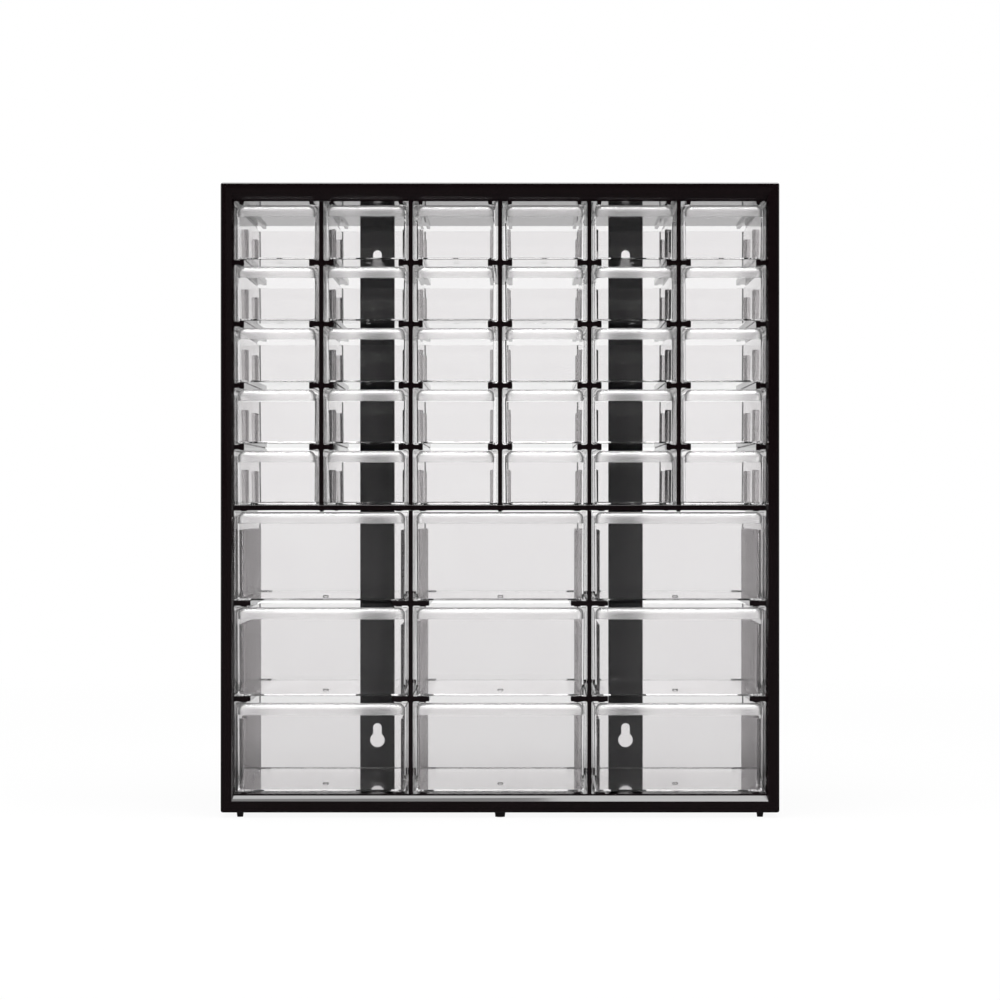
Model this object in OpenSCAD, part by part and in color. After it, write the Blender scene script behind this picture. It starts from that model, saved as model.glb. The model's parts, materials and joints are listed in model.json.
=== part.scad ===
// Parts bin cabinet: a black moulded housing with thirty small and nine large clear drawers.
// Millimetres, +Z up. The front faces -Y and the origin is under the middle of the cabinet.
// Places along the depth are measured back from the front plane of the housing.

/* [Drawer grid] */
// Distance between the centre planes of neighbouring partitions
col_pitch = 58.5; // [52:0.5:70]
// Height of one row of small drawers, rail to rail
small_pitch = 40.2; // [34:0.2:55]
// Height of one row of large drawers, rail to rail
large_pitch = 62.6; // [52:0.2:85]

/* [Housing] */
// Front to back depth of the housing
housing_d = 155; // [150:1:200]
// Thickness of the outer skin
skin_t = 2.4; // [1.6:0.1:3.2]
// Width of the flat face of the front frame at the sides
face_w = 7.2; // [6.4:0.1:10]
// Height of the flat face of the front frame at the top and bottom
face_h = 7.3; // [6.4:0.1:10]
// Thickness of the front frame, from its face to its back
frame_d = 3.6; // [2.4:0.1:4.8]
// How far the bevel inside the front frame rises at the top and bottom
bevel_h = 3.6; // [2.4:0.1:4.5]
// How far the bevel inside the front frame reaches inwards at the sides
bevel_w = 1.2; // [0.6:0.1:1.8]
// Step from the bevel up to the floor panel, and down to the ceiling panel
sill_h = 0.95; // [0.4:0.05:1.4]
// Radius of the four long outer corners
corner_r = 1.6; // [0.8:0.1:2.2]
// Chamfer round the edge of the front face
face_chamfer = 0.7; // [0.3:0.1:1.2]
// Thickness of the ribs between the outer skin and the inner panels
rib_t = 1.6; // [1:0.1:2.4]

/* [Inner panels] */
// Thickness of the side, floor and ceiling panels
panel_t = 2; // [1.6:0.1:2.6]
// Thickness of the upright partitions
partition_t = 2.8; // [2:0.1:3.4]
// Thickness of the shelf between the small and the large drawers
shelf_t = 3.4; // [2.6:0.1:4]
// Gap between fixed pieces that fit into each other
fit = 0.1; // [0.05:0.05:0.15]
// How far the panels and partitions stop short of the back plane
back_inset = 0.5; // [0.2:0.1:1.5]

/* [Small rails] */
// Reach of a small rail from the centre plane of its partition
small_rail_reach = 8; // [7:0.1:10]
// Thickness of a small rail
small_rail_t = 3; // [2.4:0.1:3.6]
// How far the middle of a small rail lies below its row line
small_rail_sink = 0.5; // [0.3:0.1:0.7]
// Width of the bead along the free edge of a small rail
small_bead_w = 3; // [2:0.1:3.6]
// How far the bead stands above a small rail
small_bead_up = 0.65; // [0.4:0.05:0.9]
// How far a bead hangs below a small rail or the ceiling
small_bead_down = 0.6; // [0.4:0.1:1.1]

/* [Large rails] */
// Reach of a large rail from the centre plane of its partition
large_rail_reach = 12.2; // [11:0.1:14]
// Thickness of a large rail
large_rail_t = 3.2; // [2.4:0.1:3.6]
// Distance from the partition's centre plane to the near side of the bead
large_bead_in = 5.6; // [4.5:0.1:6]
// Width of the bead under a large rail
large_bead_w = 4.6; // [3:0.1:5]
// How far a bead hangs below a large rail or the shelf
large_bead_down = 0.6; // [0.4:0.1:1.2]

/* [Drawers] */
// Distance from the rear wall of a drawer to the back plane of the housing
rear_room = 13.4; // [11:0.2:30]
// Thickness of the front plate
plate_t = 1.5; // [1.2:0.1:2.4]
// Thickness of the side and rear walls
wall_t = 1.2; // [0.9:0.1:1.8]
// Thickness of the drawer floor
floor_t = 1.2; // [0.9:0.1:2]
// Distance from the front plane of the housing back to the front plates
front_recess = 5.6; // [5.4:0.1:7]
// Gap between a front plate and the partition beside it
plate_gap = 0.4; // [0.3:0.05:0.8]
// Gap between the side wall of a drawer and the partition beside it
body_gap = 1.85; // [1.5:0.05:2.6]
// Gap between a drawer and the rails that it rests on
seat_gap = 0.2; // [0.1:0.05:0.3]
// Gap between the top of a front plate and the bead above it
top_gap = 0.4; // [0.3:0.05:1.2]
// How much lower the side and rear walls are than the front plate
rear_drop = 2.9; // [2:0.1:6]
// How much narrower a side wall leans in at its foot
draft = 0.4; // [0.1:0.05:0.7]
// Radius of the lower long edges of a drawer
bottom_r = 1.8; // [1.3:0.1:2.4]
// Radius of the corners of the front plate
plate_r = 0.8; // [0.4:0.1:1.5]

/* [Pull lips] */
// How far the pull lip stands out from the front plate
lip_out = 5.2; // [4.4:0.1:5.3]
// Height of the pull lip
lip_h = 7.6; // [6.5:0.1:10]
// Wall thickness of the pull lip
lip_t = 1.3; // [1:0.1:1.6]
// Distance from the end of the lip to the side edge of the front plate
lip_margin = 2.1; // [1.5:0.1:4]
// Radius of the rolled upper edge of the lip
lip_r = 3; // [2.4:0.1:4.2]

/* [Divider slots] */
// Width of a divider slot between its two ribs
slot_w = 1.6; // [1.2:0.1:2.2]
// Thickness of a slot rib at the wall
slot_rib_t = 1.4; // [1:0.1:1.8]
// Thickness of a slot rib at its free edge
slot_tip_t = 0.8; // [0.5:0.1:1]
// How far the slot ribs stand in from the wall of a small drawer
small_rib_in = 2.05; // [1.2:0.05:3]
// How far the slot ribs stand in from the wall of a large drawer
large_rib_in = 2.6; // [1.4:0.1:4]
// Distance from the top of the slot ribs to the top of the front plate
slot_drop = 12; // [9:0.1:16]
// Bevel at the top of the free edge of a slot rib
slot_bevel = 0.8; // [0.4:0.1:1.2]

/* [Rear straps] */
// Width of a rear strap
strap_w = 24.5; // [18:0.5:28]
// Thickness of a rear strap
strap_t = 2.4; // [2:0.1:3]
// How far a strap lies outwards of the middle of its column
strap_shift = 0.65; // [-2:0.05:3]
// Diameter of the round entry of a keyhole
key_hole_d = 10.3; // [9:0.1:11]
// Width of the narrow slot of a keyhole
key_slot_w = 6.1; // [4.5:0.1:6.2]
// Distance from the centre of the entry up to the end of the slot
key_slot_h = 11.9; // [10:0.1:16]
// Height of the lower keyhole entries above the floor panel
key_low = 21.4; // [12:0.2:40]
// Depth of the upper keyhole entries below the ceiling panel
key_high = 29.4; // [24:0.2:60]
// Diameter of the pins that hold the ends of the straps
stake_d = 4; // [3:0.1:4.5]

/* [Feet] */
// Height of the stacking feet
foot_h = 3.5; // [2.5:0.1:6]
// Diameter of the feet near the sides
side_foot_d = 4.8; // [4:0.1:5.6]
// Diameter of the feet in the middle
mid_foot_d = 7.2; // [5:0.1:9]
// Distance from the side of the housing to the centre of a side foot
foot_side = 12; // [11.6:0.1:14]
// Distance from the front and back planes to the centres of the feet
foot_end = 8; // [7:0.1:14]
// How much narrower a foot is at its lower end, on the diameter
foot_taper = 0.9; // [0.4:0.1:1.4]
// Room round a foot in the socket of the cabinet below it
socket_gap = 0.3; // [0.2:0.05:0.6]

/* [Joints between fixed pieces] */
// Length of the tabs on the partitions
tab_l = 20; // [12:1:30]
// Distance from the front and back planes to the tabs
tab_inset = 22; // [12:1:30]
// Diameter of the snap pegs under the short partitions
peg_d = 3.4; // [2.6:0.1:4]
// How far a snap peg shows below the shelf
peg_out = 0.9; // [0.5:0.1:1.2]
// Distance from the frame back to the first snap peg
peg_front = 4.2; // [3:0.1:8]
// Distance from the back plane to the second snap peg
peg_back = 12; // [9:0.5:20]

/* [Rear stops] */
// Gap between a closed drawer and its rear stops
stop_gap = 0.2; // [0.1:0.05:0.4]
// Length of a rear stop along the depth
stop_l = 2.4; // [1.6:0.1:3.2]
// Height of a rear stop above the seat of the drawer
stop_h = 1.4; // [0.8:0.1:2.4]

/* [Hidden] */
small_rows = 5;
small_cols = 6;
large_rows = 3;
large_cols = 3;
small_slots = [0.27, 0.75];                       // places of the slots along a small drawer
large_slots = [for (i = [1 : 5]) i / 6];          // places of the slots along a large drawer
$fn = 48;

past = 1;                                         // how far a cutting form runs past the surface it cuts
gusset = 0.8;                                     // bevel in the root of each rail
edge_c = 0.35;                                    // broken edge of the beads
overlap = 0.5;                                    // hidden overlap of joined forms
floor_rise = 0.5;                                 // floor and ceiling beyond the first and last row line
rib_end = 6;                                      // from the shell ribs to the back plane
stake_boss_w = 11;                                // boss behind each end of a strap
stake_boss_l = 8;
spigot_step = 0.85;                               // shoulder of a foot round its spigot
peg_point = 0.7;                                  // taper of a snap peg, on the radius

front_y = -housing_d / 2;
half_t = partition_t / 2;
wall_x = small_cols / 2 * col_pitch;              // from the middle to the outermost column lines
inner_x = wall_x - half_t;                        // inner faces of the side panels
housing_w = 2 * (inner_x + bevel_w + face_w);
band = face_h + bevel_h + sill_h - floor_rise;    // outer face to the first and last row lines
rows_h = large_rows * large_pitch + small_rows * small_pitch;
housing_h = 2 * band + rows_h;
base_z = foot_h + band;
top_z = base_z + rows_h;
shelf_z = base_z + large_rows * large_pitch;
floor_z = base_z + floor_rise;                    // upper face of the floor panel
ceiling_z = top_z - floor_rise;                   // lower face of the ceiling panel
mid_z = foot_h + housing_h / 2;
skin_x = housing_w / 2 - skin_t;                  // inner face of the skin at the sides
skin_low = foot_h + skin_t;
skin_high = foot_h + housing_h - skin_t;
panel_front = frame_d + fit;
panel_back = housing_d - back_inset;
strap_back = housing_d - back_inset;
strap_front = strap_back - strap_t;
lap_d = housing_d / 2;                            // where the shelf and the long partitions lap

small_rail_top = small_rail_t / 2 - small_rail_sink;
small_seat = small_rail_top + small_bead_up;      // row line to the seat of a small drawer
large_seat = large_rail_t / 2;                    // row line to the seat of a large drawer
shelf_under = shelf_t - small_seat;               // row line down to the underside of the shelf
small_rail_low = small_rail_t / 2 + small_rail_sink;
small_head = small_rail_low + small_bead_down;    // row line down to the beads over a small drawer
small_plate_h = small_pitch - small_seat - seat_gap - small_head - top_gap;
large_head = max(large_rail_t / 2, shelf_under) + large_bead_down;
large_plate_h = large_pitch - large_seat - seat_gap - large_head - top_gap;
small_plate_w = col_pitch - partition_t - 2 * plate_gap;
large_plate_w = 2 * col_pitch - partition_t - 2 * plate_gap;
small_body_w = col_pitch - partition_t - 2 * body_gap;
large_body_w = 2 * col_pitch - partition_t - 2 * body_gap;
drawer_l = housing_d - front_recess - rear_room;  // from its front plate to its rear wall
stop_d = front_recess + drawer_l + stop_gap;
tab_d = [tab_inset, housing_d - tab_inset - tab_l];
peg_places = [frame_d + peg_front, housing_d - peg_back];
shelf_high = shelf_z + small_seat;                // upper face of the shelf, a seat like the rails
shelf_low = shelf_high - shelf_t;
strap_x = 1.5 * col_pitch + strap_shift;

black = [0.07, 0.07, 0.08];
clear = [0.86, 0.88, 0.9, 0.35];

function small_row_z(row) = top_z - row * small_pitch;
function large_row_z(row) = shelf_z - row * large_pitch;
function small_col_x(col) = (col - (small_cols + 1) / 2) * col_pitch;
function large_col_x(col) = (col - (large_cols + 1) / 2) * 2 * col_pitch;
function small_name(row, col) = str("small_drawer_r", row, "_c", col);
function large_name(row, col) = str("large_drawer_r", row, "_c", col);

// One half of an outline, from its foot to its head, closed by its mirror image.
function mirrored(half) = [for (i = [len(half) - 1 : -1 : 0]) [-half[i][0], half[i][1]]];
function symmetric(half) = concat(half, mirrored(half));

// Outline of a small rail with its bead, seen along the depth, from below its root to above it.
function small_rail(z) =
    let (under = z - small_rail_low, over = z + small_rail_top)
    let (low = under - small_bead_down, high = over + small_bead_up)
    let (tip = small_rail_reach, bead = tip - small_bead_w)
    [
        [half_t, under - gusset], [half_t + gusset, under],
        [bead, under], [bead, low + edge_c], [bead + edge_c, low],
        [tip - edge_c, low], [tip, low + edge_c], [tip, high - edge_c], [tip - edge_c, high],
        [bead + edge_c, high], [bead, high - edge_c], [bead, over],
        [half_t + gusset, over], [half_t, over + gusset]
    ];

// Outline of a large rail, which is thicker and has its bead under the middle.
function large_rail(z) =
    let (h = large_rail_t / 2, tip = large_rail_reach, low = z - h - large_bead_down)
    let (bead_end = large_bead_in + large_bead_w)
    [
        [half_t, z - h - gusset], [half_t + gusset, z - h],
        [large_bead_in, z - h], [large_bead_in + edge_c, low], [bead_end - edge_c, low],
        [bead_end, z - h], [tip - edge_c, z - h], [tip, z - h + edge_c],
        [tip, z + h - edge_c], [tip - edge_c, z + h],
        [half_t + gusset, z + h], [half_t, z + h + gusset]
    ];

// All rails on one face of an upright, from the lowest one up.
small_rails = [for (r = [small_rows - 1 : -1 : 1]) each small_rail(small_row_z(r))];
large_rails = [for (r = [large_rows - 1 : -1 : 1]) each large_rail(large_row_z(r))];

// Column lines: every partition and both side walls, and those that reach down to the floor.
small_lines = [for (i = [0 : small_cols]) -wall_x + i * col_pitch];
large_lines = [for (i = [0 : large_cols]) -wall_x + i * 2 * col_pitch];

// Extrudes an outline, drawn in width and height, from depth d0 back to depth d1.
module along(d0, d1) {
    translate([0, front_y + d1, 0]) rotate([90, 0, 0]) linear_extrude(height = d1 - d0) children();
}

module block(x, d, z) {
    translate([x[0], front_y + d[0], z[0]]) cube([x[1] - x[0], d[1] - d[0], z[1] - z[0]]);
}

// A rod along the depth.
module rod(x, z, d, dia) {
    translate([x, front_y + d[1], z]) rotate([90, 0, 0]) cylinder(d = dia, h = d[1] - d[0]);
}

module rounded_rect(w, h, r) {
    square([w - 2 * r, h], center = true);
    square([w, h - 2 * r], center = true);
    for (x = [-1, 1], y = [-1, 1]) translate([x * (w / 2 - r), y * (h / 2 - r)]) circle(r = r);
}

// A pair of copies, one on each side of the middle.
module both_sides() {
    children();
    mirror([1, 0, 0]) children();
}

// ---- Housing -------------------------------------------------------------------------------

// The outer form, with a chamfer round its front face.
module outer_form() {
    c = face_chamfer;
    w = housing_w / 2;
    intersection() {
        translate([0, 0, mid_z]) along(0, housing_d) rounded_rect(housing_w, housing_h, corner_r);
        linear_extrude(height = foot_h + housing_h + past)
            polygon(symmetric([[w - c, front_y], [w, front_y + c], [w, -front_y]]));
        rotate([90, 0, 90]) linear_extrude(height = housing_w + 2 * past, center = true) polygon([
            [front_y, foot_h + c], [front_y + c, foot_h], [-front_y, foot_h],
            [-front_y, foot_h + housing_h], [front_y + c, foot_h + housing_h],
            [front_y, foot_h + housing_h - c]
        ]);
    }
}

// The opening in the front frame, bevelled inwards with mitred corners.
module frame_opening() {
    low = foot_h + face_h;
    high = foot_h + housing_h - face_h;
    back = front_y + frame_d;
    intersection() {
        rotate([90, 0, 90]) linear_extrude(height = housing_w, center = true) polygon([
            [front_y - past, low], [front_y, low],
            [back, low + bevel_h], [back + past, low + bevel_h],
            [back + past, high - bevel_h], [back, high - bevel_h],
            [front_y, high], [front_y - past, high]
        ]);
        linear_extrude(height = foot_h + housing_h) polygon(symmetric([
            [inner_x + bevel_w, front_y - past], [inner_x + bevel_w, front_y],
            [inner_x, back], [inner_x, back + past]
        ]));
    }
}

// Ribs in the hollow between the skin and the inner panels.
module shell_ribs() {
    d = [frame_d - overlap, housing_d - rib_end];
    lines = concat([for (r = [1 : large_rows]) large_row_z(r - 1)],
                   [for (r = [1 : small_rows - 1]) small_row_z(r)]);
    both_sides() for (z = lines)
        block([inner_x + panel_t + fit, skin_x + overlap], d, [z - rib_t / 2, z + rib_t / 2]);
    for (c = [1 : small_cols]) {
        x = small_col_x(c);
        block([x - rib_t / 2, x + rib_t / 2], d, [skin_low - overlap, floor_z - panel_t - fit]);
        block([x - rib_t / 2, x + rib_t / 2], d, [ceiling_z + panel_t + fit, skin_high + overlap]);
    }
}

// The boss and staked pin that hold one end of a strap, between two heights of the hollow.
module strap_stake(z) {
    face = strap_front - fit;
    half_w = stake_boss_w / 2;
    block([strap_x - half_w, strap_x + half_w], [face - stake_boss_l, face], z);
    rod(strap_x, stake_z(z), [face - overlap, strap_back], stake_d);
}

low_hollow = [skin_low, floor_z - panel_t - fit];
high_hollow = [ceiling_z + panel_t + fit, skin_high];
function stake_z(z) = (z[0] + z[1]) / 2;

function foot_places(d) = [for (y = [front_y + foot_end, -front_y - foot_end]) each
    [for (x = d == mid_foot_d ? [0] : [foot_side - housing_w / 2, housing_w / 2 - foot_side]) [x, y]]];

module housing_shell() color(black) {
    difference() {
        outer_form();
        frame_opening();
        block([-skin_x, skin_x], [frame_d, housing_d + past], [skin_low, skin_high]);
        // holes for the feet below and for the feet of a cabinet stacked above
        for (d = [side_foot_d, mid_foot_d], p = foot_places(d)) translate([p[0], p[1], 0]) {
            cylinder(d = d - 2 * spigot_step + 2 * fit, h = skin_low + past);
            translate([0, 0, skin_high - past])
                cylinder(d = d + 2 * socket_gap, h = skin_t + 2 * past);
        }
    }
    shell_ribs();
    both_sides() {
        strap_stake([low_hollow[0] - overlap, low_hollow[1]]);
        strap_stake([high_hollow[0], high_hollow[1] + overlap]);
    }
}

// ---- Panels and partitions ------------------------------------------------------------------

// A bead seen along the depth, from its root at z0 to its edge at z1.
module bead(x0, x1, z0, z1) {
    polygon([[x0, z0], [x0 + edge_c, z1], [x1 - edge_c, z1], [x1, z0]]);
}

// Beads on both sides of each column line, with their roots sunk into a plate.
module beads_beside(lines, near, far, z0, z1) {
    for (line = lines, side = [-1, 1])
        if (abs(line + side * near) < inner_x)
            let (x = [line + side * near, line + side * far]) bead(min(x), max(x), z0, z1);
}

// Upstands that stop the drawers at the back, beside each column line of a flat panel.
module panel_stops(lines, reach, face, seat) {
    for (line = lines, side = [-1, 1])
        if (abs(line + side * reach) < inner_x)
            block([line + min(side * (half_t + 2 * fit), side * reach),
                   line + max(side * (half_t + 2 * fit), side * reach)],
                  [stop_d, stop_d + stop_l], [face - overlap, seat + stop_h]);
}

// Upstands at the back of the rails on one face of an upright.
module rail_stops() {
    for (r = [1 : small_rows - 1])
        block([half_t - overlap, small_rail_reach], [stop_d, stop_d + stop_l],
              [small_row_z(r), small_row_z(r) + small_seat + stop_h]);
}

module large_rail_stops() {
    for (r = [1 : large_rows - 1])
        block([half_t - overlap, large_rail_reach], [stop_d, stop_d + stop_l],
              [large_row_z(r), large_row_z(r) + large_seat + stop_h]);
}

// Cuts for the partition tabs at each column line, through a panel between two heights.
module tab_slots(lines, z) {
    for (line = lines, d = tab_d)
        block([line - half_t - fit, line + half_t + fit], [d - fit, d + tab_l + fit],
              [z[0] - past, z[1] + past]);
}

module partition_tabs(z) {
    for (d = tab_d) block([-half_t, half_t], [d, d + tab_l], z);
}

// Cuts that let the straps pass the back edge of a panel.
module strap_notches(z) {
    both_sides() block([strap_x - strap_w / 2 - fit, strap_x + strap_w / 2 + fit],
                       [strap_front - fit, housing_d], [z[0] - past, z[1] + past]);
}

module ceiling_panel() color(black) difference() {
    along(panel_front, panel_back) {
        translate([-inner_x + fit, ceiling_z]) square([2 * (inner_x - fit), panel_t]);
        beads_beside(small_lines, small_rail_reach - small_bead_w, small_rail_reach,
                     ceiling_z + overlap, top_z - small_head);
    }
    tab_slots([for (i = [1 : small_cols - 1]) small_lines[i]], [ceiling_z, ceiling_z + panel_t]);
    strap_notches([ceiling_z, ceiling_z + panel_t]);
}

module floor_panel() color(black) difference() {
    union() {
        along(panel_front, panel_back) {
            translate([-inner_x + fit, floor_z - panel_t]) square([2 * (inner_x - fit), panel_t]);
            beads_beside(large_lines, large_bead_in, large_bead_in + large_bead_w,
                         floor_z - overlap, base_z + large_seat);
        }
        panel_stops(large_lines, large_rail_reach, floor_z, base_z + large_seat);
    }
    tab_slots([for (i = [1 : large_cols - 1]) large_lines[i]], [floor_z - panel_t, floor_z]);
    strap_notches([floor_z - panel_t, floor_z]);
}

// A side wall lining with rails on its inner face, drawn at the left.
module side_panel() {
    z = [skin_low + fit, skin_high - fit];
    difference() {
        translate([-wall_x, 0, 0]) {
            along(panel_front, panel_back) polygon(concat(
                [[half_t - panel_t, z[0]], [half_t, z[0]]], large_rails, small_rails,
                [[half_t, z[1]], [half_t - panel_t, z[1]]]));
            rail_stops();
            large_rail_stops();
        }
        for (d = tab_d)
            block([-inner_x - panel_t - past, -inner_x + past], [d - fit, d + tab_l + fit],
                  [shelf_low - fit, shelf_high + fit]);
    }
}

module side_panel_left() color(black) side_panel();
module side_panel_right() color(black) mirror([1, 0, 0]) side_panel();

module shelf() color(black) difference() {
    union() {
        along(panel_front, panel_back) {
            translate([-inner_x + fit, shelf_low]) square([2 * (inner_x - fit), shelf_t]);
            beads_beside(large_lines, large_bead_in, large_bead_in + large_bead_w,
                         shelf_low + overlap, shelf_low - large_bead_down);
        }
        panel_stops(small_lines, small_rail_reach, shelf_high, shelf_high);
        both_sides() for (d = tab_d)
            block([inner_x - fit - overlap, inner_x + panel_t - fit], [d, d + tab_l],
                  [shelf_low, shelf_high]);
    }
    // slots that lap with the long partitions
    both_sides() block([col_pitch - half_t - fit, col_pitch + half_t + fit],
                       [lap_d - fit, housing_d], [shelf_low - past, shelf_high + past]);
    // holes for the pegs of the short partitions
    for (i = [-1, 0, 1], d = peg_places)
        translate([i * 2 * col_pitch, front_y + d, shelf_low - past])
            cylinder(d = peg_d + 2 * fit, h = shelf_t + 2 * past);
    strap_notches([shelf_low, shelf_high]);
}

// A partition that runs from floor to ceiling and laps with the shelf.
module long_partition() {
    difference() {
        union() {
            along(panel_front, panel_back) polygon(symmetric(concat(
                [[half_t, floor_z + fit]], large_rails, small_rails, [[half_t, ceiling_z - fit]])));
            both_sides() {
                rail_stops();
                large_rail_stops();
            }
            partition_tabs([floor_z - panel_t + fit, floor_z + overlap]);
            partition_tabs([ceiling_z - overlap, ceiling_z + panel_t - fit]);
        }
        block([-half_t - past, half_t + past], [0, lap_d + fit],
              [shelf_low - fit, shelf_high + fit]);
    }
}

// A partition between the shelf and the ceiling, snapped into the shelf by two pegs.
module short_partition() {
    low = shelf_high + fit;
    along(panel_front, panel_back) polygon(symmetric(concat(
        [[half_t, low]], small_rails, [[half_t, ceiling_z - fit]])));
    both_sides() rail_stops();
    partition_tabs([ceiling_z - overlap, ceiling_z + panel_t - fit]);
    for (d = peg_places) translate([0, front_y + d, 0]) {
        translate([0, 0, shelf_low]) cylinder(d = peg_d, h = shelf_t + 2 * fit);
        translate([0, 0, shelf_low - peg_out])
            cylinder(d1 = peg_d - 2 * peg_point, d2 = peg_d, h = peg_out);
    }
}

module partition_long_left() color(black) translate([-col_pitch, 0, 0]) long_partition();
module partition_long_right() color(black) translate([col_pitch, 0, 0]) long_partition();
module partition_short_left() color(black) translate([-2 * col_pitch, 0, 0]) short_partition();
module partition_short_centre() color(black) short_partition();
module partition_short_right() color(black) translate([2 * col_pitch, 0, 0]) short_partition();

// ---- Straps and feet --------------------------------------------------------------------------

// A keyhole through a strap: a round entry with a narrow slot above it.
module keyhole(z) {
    d = [strap_front - past, strap_back + past];
    slot_z = z + key_slot_h - key_slot_w / 2;
    rod(strap_x, z, d, key_hole_d);
    rod(strap_x, slot_z, d, key_slot_w);
    block([strap_x - key_slot_w / 2, strap_x + key_slot_w / 2], d, [z, slot_z]);
}

module rear_strap() {
    z = [skin_low + fit, skin_high - fit];
    difference() {
        block([strap_x - strap_w / 2, strap_x + strap_w / 2], [strap_front, strap_back], z);
        keyhole(floor_z + key_low);
        keyhole(ceiling_z - key_high);
        for (hollow = [low_hollow, high_hollow])
            rod(strap_x, stake_z(hollow), [strap_front - past, strap_back + past],
                stake_d + 2 * fit);
    }
}

module rear_strap_left() color(black) mirror([1, 0, 0]) rear_strap();
module rear_strap_right() color(black) rear_strap();

// Tapered feet with spigots that are pressed up through the skin.
module stacking_feet() color(black)
    for (d = [side_foot_d, mid_foot_d], p = foot_places(d)) translate([p[0], p[1], 0]) {
        cylinder(d1 = d - foot_taper, d2 = d, h = foot_h);
        cylinder(d = d - 2 * spigot_step, h = skin_low);
    }

// ---- Drawers ------------------------------------------------------------------------------------

// Half outline of the open tray, with leaning sides and rounded lower edges.
function tray_half(half_w, low, high, r) = concat(
    [for (a = [0 : 30 : 90]) [half_w - draft - r + r * sin(a), low + r - r * cos(a)]],
    [[half_w, high]]);

// Section of the pull lip: out from the plate, over a rolled edge and down.
module lip_section(root) {
    out = lip_out - lip_r;
    difference() {
        union() {
            translate([-root, -lip_h]) square([root + lip_out, lip_h - lip_r]);
            translate([-root, -lip_r]) square([root + out, lip_r]);
            intersection() {
                translate([out, -lip_r]) circle(r = lip_r);
                translate([out, -lip_r]) square(lip_r);
            }
        }
        translate([0, -lip_h - past]) square([lip_out - lip_t, lip_h + past - lip_r]);
        translate([0, -lip_r - past]) square([out, lip_r + past - lip_t]);
        intersection() {
            translate([out, -lip_r]) circle(r = lip_r - lip_t);
            translate([out, -lip_r]) square(lip_r);
        }
    }
}

// The pull lip along the top of a front plate, with its ends turned back to the plate.
module pull_lip(w) {
    half = w / 2 - lip_out;
    rotate([90, 0, -90]) linear_extrude(height = 2 * half, center = true) lip_section(overlap);
    translate([half, 0, 0]) rotate([0, 0, -90]) rotate_extrude(angle = 90) lip_section(0);
    translate([-half, 0, 0]) rotate([0, 0, 180]) rotate_extrude(angle = 90) lip_section(0);
}

// Pairs of tapered ribs on both side walls, each pair a slot for a divider.
module slot_ribs(w, h, reach, places) {
    root = w / 2 - wall_t / 2 - draft;
    tip = w / 2 - wall_t - draft - reach;
    both_sides() intersection() {
        linear_extrude(height = h + past) for (place = places, side = [-1, 1]) {
            d = place * drawer_l + side * (slot_w + slot_rib_t) / 2;
            polygon([[tip, d - slot_tip_t / 2], [root, d - slot_rib_t / 2],
                     [root, d + slot_rib_t / 2], [tip, d + slot_tip_t / 2]]);
        }
        translate([0, drawer_l, 0]) rotate([90, 0, 0]) linear_extrude(height = drawer_l) polygon([
            [tip, floor_t - overlap], [root + past, floor_t - overlap], [root + past, h],
            [tip + slot_bevel, h], [tip, h - slot_bevel]
        ]);
    }
}

// A drawer with its front plate at y = 0 and its underside at z = 0.
module drawer(plate_w, plate_h, body_w, rib_in, places) {
    body_h = plate_h - rear_drop;
    difference() {
        translate([0, drawer_l, 0]) rotate([90, 0, 0]) linear_extrude(height = drawer_l - plate_t)
            polygon(symmetric(tray_half(body_w / 2, 0, body_h, bottom_r)));
        translate([0, drawer_l - wall_t, 0]) rotate([90, 0, 0])
            linear_extrude(height = drawer_l - plate_t - wall_t)
                polygon(symmetric(tray_half(body_w / 2 - wall_t, floor_t, body_h + past,
                                            bottom_r - wall_t / 2)));
    }
    translate([0, plate_t, plate_h / 2]) rotate([90, 0, 0]) linear_extrude(height = plate_t)
        rounded_rect(plate_w, plate_h, plate_r);
    translate([0, 0, plate_h]) pull_lip(plate_w - 2 * lip_margin);
    slot_ribs(body_w, plate_h - slot_drop, rib_in, places);
}

module small_drawer(row, col) color(clear)
    translate([small_col_x(col), front_y + front_recess, small_row_z(row) + small_seat + seat_gap])
        drawer(small_plate_w, small_plate_h, small_body_w, small_rib_in, small_slots);

module large_drawer(row, col) color(clear)
    translate([large_col_x(col), front_y + front_recess, large_row_z(row) + large_seat + seat_gap])
        drawer(large_plate_w, large_plate_h, large_body_w, large_rib_in, large_slots);

// ---- Assembly -----------------------------------------------------------------------------------

housing_shell();
side_panel_left();
side_panel_right();
floor_panel();
ceiling_panel();
shelf();
partition_long_left();
partition_long_right();
partition_short_left();
partition_short_centre();
partition_short_right();
rear_strap_left();
rear_strap_right();
stacking_feet();
for (r = [1 : small_rows], c = [1 : small_cols])
    small_drawer(r, c);
for (r = [1 : large_rows], c = [1 : large_cols])
    large_drawer(r, c);
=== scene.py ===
"""Parts bin cabinet with thirty small and nine large clear drawers in a black housing.

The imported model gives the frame. The drawers are modelled here once each, small and large, and copied
to their places. The housing mouldings get softly broken edges. All lengths are in metres.
"""

import json
import logging
import math
from collections.abc import Callable, Iterator
from contextlib import contextmanager
from dataclasses import dataclass, field
from enum import Enum

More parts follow.
